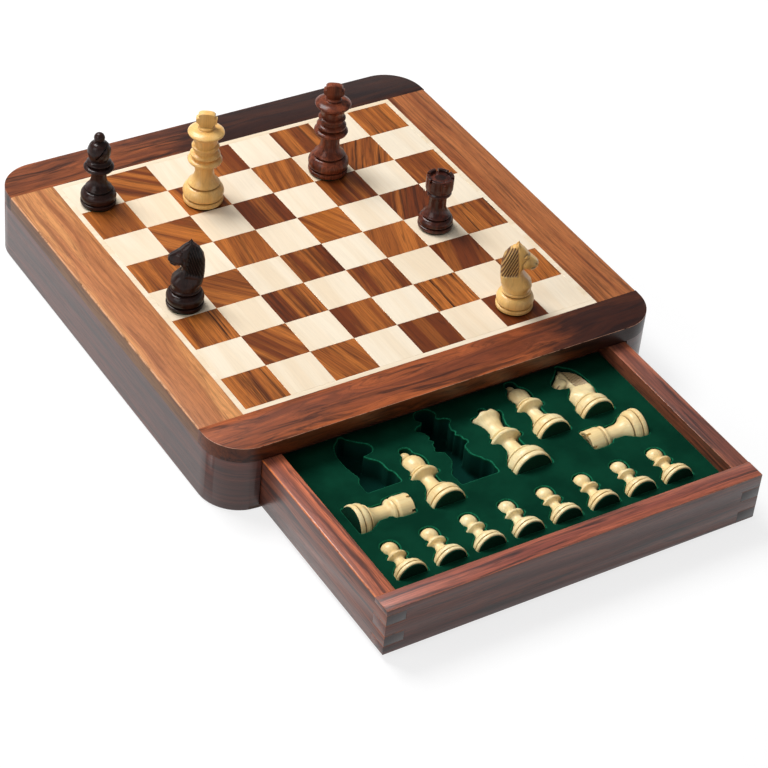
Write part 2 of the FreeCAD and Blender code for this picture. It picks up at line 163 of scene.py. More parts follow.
def lay_over(tree, share, under, over):
    return put(tree, "Mix", {0: share, 6: under, 7: over}, data_type="RGBA").outputs[2]


def speckle(tree, vector, scale=1.0, detail=2.0, rough=0.5):
    feeds = {"Vector": vector, "Scale": scale, "Detail": detail, "Roughness": rough}
    return put(tree, "TexNoise", feeds).outputs[0]


def facing(tree, axis=2):
    """How squarely the surface faces along an axis, which is upwards unless another is named."""
    return put(tree, "SeparateXYZ", {0: put(tree, "NewGeometry").outputs["Normal"]}).outputs[axis]


def in_millimetres(tree, squeeze=(1, 1, 1), turn=(0, 0, 0)):
    place = put(tree, "TexCoord").outputs["Object"]
    scale = [1000.0 * part for part in squeeze]
    return put(tree, "Mapping", {"Vector": place, "Scale": scale, "Rotation": turn}).outputs[0]


def new_material(name):
    material = bpy.data.materials.new(name)
    material.use_nodes = True
    tree = material.node_tree
    return material, tree, tree.nodes["Principled BSDF"]


def dial(shader, settings):
    """Set some of a shader's plain values."""
    for socket, value in settings.items():
        shader.inputs[socket].default_value = value


def figured_timber():
    """The figure of sawn timber. Place is in millimetres with the grain along X."""
    tree = bpy.data.node_groups.new("figured timber", "ShaderNodeTree")
    for side, kind, names in (
        ("INPUT", "Vector", ("Place",)), ("INPUT", "Color", ("Pale wood", "Body wood", "Dark wood")),
        ("INPUT", "Float", ("Spacing", "Streaks", "Lines", "Pores", "Waver", "Tone")),
        ("OUTPUT", "Color", ("Colour",)), ("OUTPUT", "Float", ("Roughness", "Height")),
    ):
        for name in names:
            tree.interface.new_socket(name=name, in_out=side, socket_type="NodeSocket" + kind)
    given = tree.nodes.new("NodeGroupInput").outputs
    slow = stretched(tree, given["Place"], 0.011, 0.045)
    sway = put(tree, "TexNoise", {"Vector": slow, "Scale": 1.0, "Detail": 2.0}).outputs["Color"]
    sway = put(tree, "VectorMath", {0: sway, 1: (0.5, 0.5, 0.5)}, operation="SUBTRACT").outputs[0]
    sway = put(tree, "VectorMath", {0: sway, "Scale": given["Waver"]}, operation="SCALE").outputs[0]
    place = put(tree, "VectorMath", {0: given["Place"], 1: sway}, operation="ADD").outputs[0]
    pitch = reckon(tree, "DIVIDE", 1.0, given["Spacing"])
    rows = put(tree, "CombineXYZ", {0: 0.012, 1: pitch, 2: pitch}).outputs[0]
    figure = put(tree, "VectorMath", {0: place, 1: rows}, operation="MULTIPLY").outputs[0]
    broad = speckle(tree, figure, 0.36)
    streak = speckle(tree, figure, 1.0, 4.0, 0.62)
    fibre = speckle(tree, stretched(tree, place, 0.035, 2.6))
    fine = speckle(tree, figure, 2.6, 3.0, 0.6)
    pore = speckle(tree, stretched(tree, place, 0.11, 3.4), 1.0, 1.0)
    lean = reckon(tree, "MULTIPLY_ADD", given["Tone"], 1.3, -0.65)
    body = reckon(tree, "ADD", rise(tree, broad, 0.36, 0.64), lean, clamp=True)
    colour = lay_over(tree, body, given["Pale wood"], given["Body wood"])
    growth = reckon(tree, "SINE", reckon(tree, "MULTIPLY", broad, 95.0))
    growth = reckon(tree, "MULTIPLY", rise(tree, growth, 0.45, 1.0), given["Lines"])
    colour = lay_over(tree, growth, colour, given["Dark wood"])
    band = rise(tree, reckon(tree, "ADD", streak, reckon(tree, "MULTIPLY", lean, 0.1)), 0.5, 0.64)
    band = reckon(tree, "MULTIPLY", band, given["Streaks"])
    colour = lay_over(tree, band, colour, given["Dark wood"])
    depth = reckon(tree, "MULTIPLY_ADD", given["Streaks"], 1.6, 0.06)
    glow = reckon(tree, "MULTIPLY_ADD", reckon(tree, "SUBTRACT", fine, 0.5), depth, 1.0)
    depth = reckon(tree, "MULTIPLY_ADD", given["Streaks"], 0.4, 0.08)
    glow = reckon(tree, "MULTIPLY_ADD", reckon(tree, "SUBTRACT", fibre, 0.5), depth, glow)
    colour = put(tree, "VectorMath", {0: colour, "Scale": glow}, operation="SCALE").outputs[0]
    pit = reckon(tree, "MULTIPLY", rise(tree, pore, 0.56, 0.68), given["Pores"])
    colour = lay_over(tree, pit, colour, (0.012, 0.006, 0.004, 1.0))
    height = reckon(tree, "MULTIPLY_ADD", fibre, 0.35, reckon(tree, "MULTIPLY", pit, -1.0))
    rough = reckon(tree, "MULTIPLY_ADD", fibre, 0.16, reckon(tree, "MULTIPLY_ADD", pit, 0.2, 0.26))
    out = tree.nodes.new("NodeGroupOutput")
    for name, value in (("Colour", colour), ("Roughness", rough), ("Height", height)):
        tree.links.new(value, out.inputs[name])
    return tree


def worn_and_lit_arris():
    """Where an upper arris is rubbed and catches the light: the slope between a flat top and an upright face,
    coloured for wear with a painted highlight.
    """
    tree = bpy.data.node_groups.new("rubbed and lit arris", "ShaderNodeTree")
    tree.interface.new_socket(name="Place", in_out="INPUT", socket_type="NodeSocketVector")
    tree.interface.new_socket(name="Wear and highlight", in_out="OUTPUT", socket_type="NodeSocketFloat")
    given = tree.nodes.new("NodeGroupInput").outputs
    upward = facing(tree)
    slope = reckon(tree, "MULTIPLY", rise(tree, upward, 0.08, 0.45), rise(tree, upward, 0.995, 0.9))
    patchy = speckle(tree, given["Place"], 0.16, 5.0, 0.7)
    wear_and_highlight = reckon(tree, "MULTIPLY", slope, rise(tree, patchy, 0.3, 0.54))
    out = tree.nodes.new("NodeGroupOutput")
    tree.links.new(wear_and_highlight, out.inputs["Wear and highlight"])
    return tree


TIMBER = figured_timber()
ARRIS = worn_and_lit_arris()
ALONG = {"x": (0.0, 0.0, 0.0), "y": (0.0, 0.0, -math.pi / 2), "z": (0.0, math.pi / 2, 0.0)}


def timber(name, pale, body, dark, grain="x", shift=(0, 0, 0), squeeze=(1, 1, 1), figure=None,
           spacing=5.0, streaks=0.7, lines=0.25, pores=0.35, waver=9.0, tone=0.5,
           rubbed_and_lit=None, painted_top_light=None, dark_end=None, end_grain=None, carved=None,
           dull=0.0, gloss=0.5, coat=0.25, coat_rough=0.28):
    """A lacquered timber. Grain names the axis it runs along, shift picks the part of the plank."""
    material, tree, shader = new_material(name)
    if figure:
        place = put(tree, "Attribute", attribute_name=figure).outputs["Vector"]
        laid = {"Vector": place, "Location": shift, "Rotation": ALONG[grain]}
        place = put(tree, "Mapping", laid).outputs[0]
    else:
        flat = in_millimetres(tree, squeeze, ALONG[grain])
        place = put(tree, "VectorMath", {0: flat, 1: shift}, operation="ADD").outputs[0]
    if figure and tone is None:
        look = put(tree, "Attribute", attribute_name="square look").outputs["Vector"]
        tone, streaks = put(tree, "SeparateXYZ", {0: look}).outputs[:2]
    wood = put(tree, "Group", node_tree=TIMBER)
    feeds = (place, tint(*pale), tint(*body), tint(*dark), spacing, streaks, lines, pores, waver, tone)
    for socket, value in zip(wood.inputs, feeds):
        if isinstance(value, bpy.types.NodeSocket):
            tree.links.new(value, socket)
        else:
            socket.default_value = value
    colour = wood.outputs["Colour"]
    if dark_end:
        low, high, shade, share = dark_end
        smoke = speckle(tree, stretched(tree, place, 0.03, 0.12), 1.0, 3.0)
        along = put(tree, "SeparateXYZ", {0: flat}).outputs[0]
        along = reckon(tree, "MULTIPLY_ADD", smoke, 70.0, reckon(tree, "SUBTRACT", along, 35.0))
        far = reckon(tree, "MULTIPLY", rise(tree, along, low, high), share)
        colour = lay_over(tree, far, colour, tint(*shade))
    # Painted light and shade: faces turned upwards get one lightness and upright faces another, standing in
    # for the light from above.
    if painted_top_light:
        sides, top = painted_top_light
        painted_top_lightness = reckon(tree, "MULTIPLY_ADD", rise(tree, facing(tree), 0.85, 0.98), top - sides, sides)
        colour = put(tree, "VectorMath", {0: colour, "Scale": painted_top_lightness}, operation="SCALE").outputs[0]
    # Painted shade in grooves, gouge cuts and under collars, read from the mesh.
    if carved:
        painted_groove_shade_mask = put(tree, "Attribute", attribute_name="carved").outputs["Fac"]
        colour = lay_over(tree, painted_groove_shade_mask, colour, tint(*carved))
    if end_grain:
        cut = rise(tree, reckon(tree, "ABSOLUTE", facing(tree, "xyz".index(grain))), 0.8, 0.95)
        ends = speckle(tree, stretched(tree, place, 0.9, 0.9), 1.0, 3.0)
        mottle = reckon(tree, "MULTIPLY_ADD", ends, 0.4, 0.7)
        colour = lay_over(tree, reckon(tree, "MULTIPLY", cut, mottle, clamp=True), colour, tint(*end_grain))
    # Wear and painted highlight: the rubbed upper arris is made paler, partly for its wear and partly for the
    # light it catches.
    if rubbed_and_lit:
        arris = put(tree, "Group", node_tree=ARRIS)
        tree.links.new(place, arris.inputs["Place"])
        colour = lay_over(tree, arris.outputs["Wear and highlight"], colour, tint(*rubbed_and_lit))
    tree.links.new(colour, shader.inputs["Base Color"])
    rough = reckon(tree, "ADD", wood.outputs["Roughness"], dull)
    tree.links.new(rough, shader.inputs["Roughness"])
    relief = put(tree, "Bump", {"Height": wood.outputs["Height"], "Strength": 0.12, "Distance": 0.0004})
    tree.links.new(relief.outputs[0], shader.inputs["Normal"])
    dial(shader, {"Coat Weight": coat, "Coat Roughness": coat_rough, "Specular IOR Level": gloss})
    return material


BAY = 0.125  # from the middle to a wall's inner face
FIT = 0.0006  # a little more than the play between a drawer and a wall
HAIR = 0.0001  # how close to a plane an edge has to be to lie in it
FOOT = 0.0012  # how far the case's lower arrises are eased
case_rosewood = timber(
    "case rosewood", (112, 56, 42), (79, 40, 32), (34, 18, 19), grain="y", squeeze=(0.05, 1, 1),
    spacing=2.6, streaks=0.6, lines=0.2, pores=0.3, waver=6.0, tone=0.55, shift=(40, 0, 11), coat=0.24,
)
for side in ("left", "right"):
    wall = cut_from(f"{side}_wall", f"{side}_side_wall")
    ease(wall, FOOT, 3, lambda a, b: max(a.z, b.z) < HAIR and min(abs(a.x), abs(b.x)) > BAY + FIT)
    finish_piece(wall, case_rosewood, "case", [f"{side}_wall"])

# ----------------------------------------
# Base panel, middle divider and board core. Thin birch plywood, stained brown where it shows: the
# base slides into the walls' rebates and has its corners trimmed to their round, the divider stands
# between the two drawers, and the core carries the squares.
# ----------------------------------------
stained_ply = timber(
    "stained plywood", (92, 62, 46), (76, 50, 38), (52, 34, 27), grain="x", spacing=11.0,
    streaks=0.35, lines=0.5, pores=0.2, waver=16.0, coat=0.0, dull=0.25,
)
OUTER = 0.15  # from the middle to the outside of the case
ROUND = 0.025  # of its corners
base = cut_from("base_panel", "base_board")
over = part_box("base_panel")[1][0] - (OUTER - ROUND)
short = ROUND - math.sqrt(ROUND ** 2 - over ** 2)
take_up(base)
bpy.ops.object.mode_set(mode="EDIT")
for across, ahead in ((-1, -1), (-1, 1), (1, -1), (1, 1)):
    bpy.ops.mesh.select_all(action="SELECT")
    bpy.ops.mesh.bisect(
        plane_co=(across * (OUTER - ROUND), ahead * OUTER, 0),
        plane_no=Vector((across * short, ahead * over, 0)).normalized(), use_fill=True, clear_outer=True,
    )
bpy.ops.object.mode_set(mode="OBJECT")
ease(base, FOOT, 3, lambda a, b: max(a.z, b.z) < HAIR and min(abs(a.y), abs(b.y)) > OUTER - 0.002)
finish_piece(base, stained_ply, "case", ["base_panel"])
for node in ("drawer_divider", "board_core"):
    stain(frame["nodes"][node], stained_ply)

# ----------------------------------------
# Rails. Four rosewood boards frame the field: the front and back ones run the full
# width and carry the round corners, the left and right ones butt between them. Their
# upper outer arris is rounded by hand with fine paper, and is paler for its wear and for a
# painted highlight; the upright faces are painted darker than the top for the light from above.
# ----------------------------------------
TOP = 0.046  # height of the playing surface
RAIL_THICK = 0.010
INNER = OUTER - 0.0285  # from the middle to a rail's inner edge
RUBBED = 0.0009  # how far fine paper rounds an arris


def on_top(a, b):
    """Whether an edge lies in the playing surface."""
    return min(a.z, b.z) > TOP - HAIR


def plank(name, low, high):
    """A squared board from its low corner to its high corner."""
    middle = (Vector(low) + Vector(high)) / 2
    size = Vector(high) - Vector(low)
    bpy.ops.object.select_all(action="DESELECT")
    bpy.ops.mesh.primitive_cube_add(size=1, location=middle, scale=size)
    bpy.ops.object.transform_apply(location=True, rotation=True, scale=True)
    piece = bpy.context.object
    piece.name = name
    return piece


rail_woods = {
    "front": timber(
        "front rail rosewood", (170, 88, 46), (118, 58, 35), (42, 21, 17), grain="x", spacing=6.0,
        streaks=0.75, lines=0.3, pores=0.35, waver=22.0, tone=0.5, shift=(20, 37, 0), rubbed_and_lit=(222, 166, 136),
        dark_end=(66, 104, (32, 16, 16), 0.82), coat=0.1, gloss=0.25, painted_top_light=(0.42, 1.0),
    ),
    "back": timber(
        "back rail rosewood", (154, 84, 48), (106, 56, 36), (40, 22, 19), grain="x", spacing=5.0,
        streaks=0.85, lines=0.3, pores=0.35, waver=16.0, tone=0.5, shift=(300, 12, 0), rubbed_and_lit=(168, 112, 88),
        dark_end=(-50, 0, (28, 13, 14), 0.85), coat=0.08, gloss=0.2, painted_top_light=(0.42, 1.0),
    ),
    "left": timber(
        "left rail rosewood", (216, 150, 92), (182, 114, 70), (132, 74, 44), grain="y", spacing=4.6,
        streaks=0.55, lines=0.25, pores=0.3, waver=8.0, tone=0.45, shift=(-60, 90, 0), rubbed_and_lit=(220, 160, 116),
        coat=0.1, gloss=0.25, painted_top_light=(0.4, 1.0),
    ),
    "right": timber(
        "right rail rosewood", (182, 110, 62), (146, 78, 42), (92, 47, 26), grain="y", spacing=3.0,
        streaks=0.65, lines=0.2, pores=0.4, waver=5.0, tone=0.5, shift=(120, -40, 0), rubbed_and_lit=(196, 130, 92),
        coat=0.1, gloss=0.25, painted_top_light=(0.4, 1.0),
    ),
}
for side, way in (("front", -1), ("back", 1)):
    ends = sorted((way * OUTER, way * INNER))
    rail = plank(f"{side}_rail_board", (-OUTER, ends[0], TOP - RAIL_THICK), (OUTER, ends[1], TOP))
    bpy.ops.object.mode_set(mode="EDIT")
    bpy.ops.mesh.select_mode(type="EDGE")
    bpy.ops.mesh.select_all(action="DESELECT")
    shape = bmesh.from_edit_mesh(rail.data)
    for edge in shape.edges:
        upright = abs(edge.verts[0].co.z - edge.verts[1].co.z) > 0.005
        edge.select = upright and abs(edge.verts[0].co.y) > OUTER - HAIR
    bmesh.update_edit_mesh(rail.data)
    bpy.ops.mesh.bevel(offset=ROUND, segments=14, profile=0.5)
    bpy.ops.object.mode_set(mode="OBJECT")
    ease(rail, RUBBED, 3, lambda a, b: on_top(a, b) and min(abs(a.y), abs(b.y)) > INNER + HAIR)
    finish_piece(rail, rail_woods[side], "case", [f"{side}_rail"])
for side, way in (("left", -1), ("right", 1)):
    ends = sorted((way * OUTER, way * INNER))
    rail = plank(f"{side}_rail_board", (ends[0], -INNER, TOP - RAIL_THICK), (ends[1], INNER, TOP))
    ease(rail, RUBBED, 3, lambda a, b: on_top(a, b) and min(abs(a.x), abs(b.x)) > OUTER - HAIR)
    finish_piece(rail, rail_woods[side], "case", [f"{side}_rail"])

# ----------------------------------------
# Playing squares. Thirty-two squares of rosewood and thirty-two of maple are sawn
# from many offcuts, so each dark one has its own figure and lean. They are glued to
# the core and sanded level, with a hair joint between them.
# ----------------------------------------
SQUARE = 0.0295
THICK = 0.003  # of a square and of a strip
JOINT = 0.00012  # how far their upper edges are eased, which leaves the hair joint
# lean of the grain from the file in degrees, tone from golden (0) to dark (1), strength of the streaks
DARK_FIGURE = {
    "b8": (-50, 0.45, 0.5), "d8": (0, 0.5, 0.4), "f8": (0, 0.4, 0.6), "h8": (0, 0.25, 0.7),
    "a7": (0, 0.15, 0.4), "c7": (-10, 0.5, 0.5), "e7": (12, 0.3, 0.35), "g7": (30, 0.35, 0.9),
    "b6": (-45, 0.4, 0.4), "d6": (0, 0.85, 0.4), "f6": (0, 0.55, 0.6), "h6": (0, 0.35, 0.8),
    "a5": (0, 0.3, 0.8), "c5": (8, 0.12, 0.5), "e5": (-25, 0.35, 0.3), "g5": (25, 0.75, 0.7),
    "b4": (-45, 0.3, 0.35), "d4": (0, 0.7, 0.5), "f4": (20, 0.12, 0.45), "h4": (0, 0.4, 0.9),
    "a3": (0, 0.3, 0.9), "c3": (0, 0.6, 0.6), "e3": (5, 0.65, 0.5), "g3": (15, 0.7, 0.25),
    "b2": (-25, 0.45, 0.4), "d2": (0, 0.6, 0.2), "f2": (0, 0.35, 0.95), "h2": (5, 0.3, 0.7),
    "a1": (0, 0.3, 0.85), "c1": (-15, 0.15, 0.8), "e1": (0, 0.95, 0.15), "g1": (0, 0.9, 0.2),
}
dark_squares_wood = timber(
    "dark squares rosewood", (184, 107, 46), (114, 53, 22), (54, 23, 10), spacing=2.8, streaks=0.85,
    lines=0.3, pores=0.3, waver=5.0, tone=None, figure="figure", coat=0.08, gloss=0.22,
)
light_squares_wood = timber(
    "light squares maple", (247, 232, 208), (241, 221, 192), (228, 200, 164), spacing=5.0,
    lines=0.06, pores=0.03, waver=6.0, tone=None, figure="figure", coat=0.08, gloss=0.22,
)


def joined(pieces):
    """Make several pieces one, under the first one's name."""
    take_up(pieces[0])
    for piece in pieces:
        piece.select_set(True)
    bpy.ops.object.join()
    return pieces[0]


def lay_squares(name, dark, wood):
    chance = random.Random(4 if dark else 9)
    first = plank("square", (0, 0, TOP - THICK), (SQUARE, SQUARE, TOP))
    ease(first, JOINT, 1, on_top)
    laid = []
    for file in range(8):
        for rank in range(8):
            if ((file + rank) % 2 == 0) != dark:
                continue
            tile = set_out(f"{'abcdefgh'[file]}{rank + 1}", first.data.copy())
            corner = Vector(((file - 4) * SQUARE, (rank - 4) * SQUARE, 0))
            if dark:
                lean, tone, strength = DARK_FIGURE[tile.name]
            else:
                lean, tone, strength = chance.uniform(-4, 4), chance.uniform(0.1, 0.9), 0.05
            turn, slip = math.radians(lean), Vector([chance.uniform(-900, 900) for n in range(3)])
            tile.data.attributes.new("figure", "FLOAT_VECTOR", "POINT")
            tile.data.attributes.new("square look", "FLOAT_VECTOR", "POINT")
            figure, look = tile.data.attributes["figure"], tile.data.attributes["square look"]
            for n, corner_point in enumerate(tile.data.vertices):
                x, y = (corner_point.co.x - SQUARE / 2) * 1000, (corner_point.co.y - SQUARE / 2) * 1000
                along = x * math.sin(turn) + y * math.cos(turn)
                across = x * math.cos(turn) - y * math.sin(turn)
                figure.data[n].vector = Vector((along, across, 0)) + slip
                look.data[n].vector = (tone, strength, 0)
            tile.data.transform(Matrix.Translation(corner))
            laid.append(tile)
    field = joined(laid)
    field.name = name
    bpy.data.objects.remove(first)
    node, slot = ("dark_squares", "dark_wood") if dark else ("light_squares", "maple")
    finish_piece(field, wood, "case", [node], 20)


lay_squares("rosewood_squares", True, dark_squares_wood)
lay_squares("maple_squares", False, light_squares_wood)

# ----------------------------------------
# Stringing. Four strips of pale maple, let in between the squares and the rails: the
# front and back strips run full length, the side ones butt in.
# ----------------------------------------
STRIP = 0.0035
FIELD = 4 * SQUARE
strips = []
for way in (-1, 1):
    ends = sorted((way * FIELD, way * (FIELD + STRIP)))
    strips.append(plank("strip", (-FIELD - STRIP, ends[0], TOP - THICK), (FIELD + STRIP, ends[1], TOP)))
    strips.append(plank("strip", (ends[0], -FIELD, TOP - THICK), (ends[1], FIELD, TOP)))
for strip in strips:
    ease(strip, JOINT, 1, on_top)
joined(strips).name = "maple_strips"
strip_maple = timber(
    "stringing maple", (247, 231, 206), (240, 219, 188), (224, 196, 160), grain="x", spacing=4.0,
    streaks=0.08, lines=0.06, pores=0.04, waver=4.0, coat=0.08, gloss=0.22,
)
finish_piece(strips[0], strip_maple, "case", ["maple_stringing"], 20)

# ----------------------------------------
# Drawers. Each has a thick front and two thick sides of rosewood, locked at the
# corners by square fingers whose end grain shows on the front, a thin back, and a
# plywood bottom in grooves. The upper arrises are rubbed, and are paler for their wear and
# for a painted highlight; the tops are painted lighter for the light from above.
# ----------------------------------------
RIM = 0.0353  # height of a drawer's upper edge
drawer_woods = {
    "face": timber(
        "drawer front rosewood", (130, 68, 49), (96, 47, 38), (33, 20, 21), grain="x", spacing=3.4,
        streaks=0.85, lines=0.3, pores=0.4, waver=5.0, tone=0.5, shift=(70, 5, 40), rubbed_and_lit=(196, 118, 78),
        coat=0.26, painted_top_light=(1.0, 2.1),
    ),
    "left_side": timber(
        "drawer left side rosewood", (150, 82, 56), (110, 60, 46), (48, 30, 30), grain="y", spacing=3.0,
        streaks=0.8, lines=0.3, pores=0.4, waver=4.0, tone=0.5, shift=(10, 63, 8), rubbed_and_lit=(224, 124, 68),
        end_grain=(32, 26, 30), coat=0.38, painted_top_light=(1.0, 2.1),
    ),
    "right_side": timber(
        "drawer right side rosewood", (130, 72, 50), (92, 52, 42), (42, 28, 28), grain="y", spacing=2.6,
        streaks=0.85, lines=0.3, pores=0.4, waver=4.0, tone=0.55, shift=(200, 21, 90), rubbed_and_lit=(188, 112, 76),
        end_grain=(32, 26, 30), coat=0.38, painted_top_light=(1.0, 2.1),
    ),
    "back": timber(
        "drawer back rosewood", (124, 74, 54), (94, 56, 44), (50, 32, 30), grain="x", spacing=3.0,
        streaks=0.7, lines=0.3, pores=0.4, waver=5.0, tone=0.5, shift=(500, 12, 7), coat=0.3,
        painted_top_light=(1.0, 2.1),
    ),
}
for which in ("front", "rear"):
    body = f"{which}_drawer"
    for part, wood in drawer_woods.items():
        board = cut_from(f"{body}_{part}", f"{body}_{part}_board")
        left, _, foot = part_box(f"{body}_{part}")[0]
        if part.endswith("side"):
            way = 1 if left > 0 else -1
            ease(
                board, RUBBED, 3,
                lambda a, b: min(a.z, b.z) > RIM - HAIR and min(a.x * way, b.x * way) > BAY - FIT,
            )
        if part == "face":
            ease(board, 0.0035, 6, lambda a, b: min(a.x, b.x) > BAY - FIT and max(a.z, b.z) < foot + HAIR)
        ease(board, 0.0003, 2)
        finish_piece(board, wood, body, [f"{body}_{part}"])
    stain(frame["nodes"][f"{body}_bottom"], stained_ply)

# ----------------------------------------
# Turned men. Pawns, rooks, bishops, queens, kings and the knights' feet are turned on
# a lathe from boxwood and stained hardwood, then polished. Each has a green felt pad
# glued under it.
# ----------------------------------------
PAD = 0.8
MAN_WIDTH = {"pawn": 19.5, "rook": 22.0, "bishop": 22.0, "queen": 25.5, "king": 25.0, "knight": 22.5}
# each step of an outline: radius, height in millimetres, and how far the line to it swells out, if it does
OUTLINES = {
    "pawn": [
        (0, PAD), (9.2, PAD), (9.7, 1.4, 0.1), (9.7, 2.7, 0.1), (9.3, 2.9), (8.4, 3.0), (8.4, 3.5),
        (9.4, 3.8, 0.1), (7.2, 7.5, 0.85), (6.0, 7.7), (5.9, 8.1), (6.7, 8.5, 0.08), (6.7, 8.9, 0.08),
        (6.1, 9.3), (3.7, 12.8, -0.6), (3.5, 14.2), (4.3, 16.0, -0.2), (5.8, 16.5), (6.25, 17.1, 0.12),
        (6.2, 17.9, 0.15), (5.0, 18.5), (3.8, 18.9, -0.1), (3.5, 19.8, -0.1), (3.7, 20.9),
    ],
    "rook": [
        (0, PAD), (10.4, PAD), (11, 1.5, 0.12), (11, 3.3, 0.1), (10.5, 3.6), (9.5, 3.7), (9.5, 4.3),
        (10.7, 4.6, 0.1), (9.1, 8.6, 0.75), (7.8, 8.8), (7.7, 9.3), (8.75, 9.6, 0.1), (8.8, 10.1, 0.1),
        (8.2, 10.6), (5.5, 19.0, -1.0), (5.3, 21.5), (5.9, 24.0, -0.2), (7.2, 24.7), (7.8, 25.4, 0.15),
        (7.8, 26.4, 0.2), (7.2, 27.1), (7.2, 27.5), (8.2, 28.3, 0.15), (8.6, 29.4, 0.12), (8.6, 37.1),
        (8.3, 37.5, 0.1), (6.75, 37.5), (6.45, 37.1, 0.1), (6.4, 35.7), (5.7, 35.5), (0, 36.2, 0.3),
    ],
    "bishop": [
        (0, PAD), (10.4, PAD), (11, 1.5, 0.12), (11, 3.3, 0.1), (10.5, 3.6), (9.5, 3.7), (9.5, 4.3),
        (10.7, 4.6, 0.1), (8.7, 10.9, 1.15), (7.4, 11.1), (7.2, 11.7), (8.2, 12.1, 0.1), (8.2, 12.6, 0.1),
        (7.6, 13.1), (4.8, 21.6, -1.0), (4.7, 23.2), (5.7, 25.2, -0.3), (8.5, 26.0), (9.2, 26.8, 0.12),
        (9.15, 27.9, 0.2), (7.7, 28.6), (6.2, 29.0, -0.15), (6.2, 29.6), (7.5, 30.2, 0.1),
        (7.5, 31.1, 0.2), (6.1, 31.7), (5.6, 32.7, -0.2), (7.1, 38.0, 0.35), (6.5, 41.5, 0.35),
        (4.2, 44.6, 0.45), (2.6, 45.7, -0.15),
    ],
    "queen": [
        (0, PAD), (12.1, PAD), (12.75, 1.6, 0.12), (12.75, 3.9, 0.1), (12.2, 4.2), (11.2, 4.3),
        (11.2, 4.9), (12.4, 5.3, 0.1), (10.2, 12.2, 1.4), (8.8, 12.4), (8.7, 13.0), (9.8, 13.5, 0.1),
        (9.8, 14.1, 0.1), (9.1, 14.7), (5.7, 24.2, -1.3), (5.5, 25.6), (6.7, 27.8, -0.3), (9.7, 28.6),
        (10.5, 29.5, 0.15), (10.45, 30.7, 0.25), (8.9, 31.4), (7.4, 31.9, -0.15), (7.4, 32.7),
        (8.7, 33.5, 0.15), (8.65, 34.5, 0.2), (7.0, 35.2), (6.5, 37.0, -0.15), (6.3, 39.5),
        (7.3, 44.0, -0.3), (9.9, 49.6, -0.5), (10.0, 50.2), (10.0, 51.9), (9.75, 52.0), (8.7, 51.9),
        (7.2, 50.4, -0.3), (5.6, 50.3, -0.2), (2.2, 53.2, 0.6),
    ],
    "king": [
        (0, PAD), (11.9, PAD), (12.5, 1.5, 0.12), (12.5, 3.7, 0.1), (12.0, 4.0), (11.0, 4.1), (11.0, 4.7),
        (12.2, 5.1, 0.1), (10.3, 12.4, 1.5), (8.9, 12.6), (8.8, 13.2), (9.85, 13.7, 0.1), (9.9, 14.3, 0.1),
        (9.2, 14.9), (6.1, 24.8, -1.3), (5.8, 26.4), (7.0, 28.6, -0.3), (9.8, 29.5), (10.5, 30.4, 0.15),
        (10.45, 31.6, 0.25), (9.1, 32.3), (7.0, 32.7), (6.9, 33.7), (9.0, 34.3), (9.2, 34.8, 0.1),
        (9.1, 35.8, 0.2), (7.7, 36.4), (6.9, 36.7), (6.8, 39.2, -0.1), (8.3, 39.9), (8.5, 40.5, 0.1),
        (8.4, 41.2, 0.15), (7.0, 41.6), (7.0, 42.4), (7.4, 44.2, -0.1), (10.8, 49.8, -0.9),
        (11.25, 50.3, 0.05), (11.2, 51.2, 0.1), (10.7, 51.6), (5.4, 53.2, 0.45), (5.1, 53.4),
        (5.1, 54.6, 0.1), (4.6, 55.0, 0.05), (0, 55.0),
    ],
    "knight": [
        (0, PAD), (10.7, PAD), (11.25, 1.5, 0.12), (11.25, 3.3, 0.1), (10.7, 3.6), (9.7, 3.7), (9.7, 4.3),
        (10.9, 4.6, 0.1), (9.6, 10.9, 1.0), (8.6, 11.1), (8.0, 11.3), (8.0, 12.0), (8.9, 12.5, 0.1),
        (8.9, 13.4, 0.15), (8.4, 13.9), (8.5, 14.6), (0, 14.6),
    ],
}
KNOBS = {"pawn": (24.7, 5.3), "bishop": (48.1, 3.4), "queen": (55.5, 2.5)}


def swelled(outline):
    """The outline with its bellies and hollows drawn in."""
    points = [outline[0]]
    for radius, height, *belly in outline[1:]:
        last = Vector(points[-1])
        run = Vector((radius, height)) - last
        if belly:
            bend = last + run / 2 + Vector((run.y, -run.x)).normalized() * belly[0] * 2
            count = max(3, round(run.length / 0.9))
            for n in range(1, count):
                t = n / count
                at = last * (1 - t) ** 2 + bend * 2 * t * (1 - t) + (last + run) * t * t
                points.append((max(0.0, at.x), at.y))
        points.append((radius, height))
    return points


def drawn(points):
    """Draw a line point by point, and leave it picked in edit mode."""
    bpy.ops.object.select_all(action="DESELECT")
    bpy.ops.mesh.primitive_plane_add(size=0.001, location=points[0])
    piece = bpy.context.object
    bpy.ops.object.transform_apply(location=True, rotation=True, scale=True)
    bpy.ops.object.mode_set(mode="EDIT")
    bpy.ops.mesh.select_mode(type="VERT")
    bpy.ops.mesh.select_all(action="SELECT")
    bpy.ops.mesh.merge(type="CENTER")
    for last, point in zip(points, points[1:]):
        bpy.ops.mesh.extrude_region_move(TRANSFORM_OT_translate={"value": point - last})
    bpy.ops.mesh.select_all(action="SELECT")
    return piece


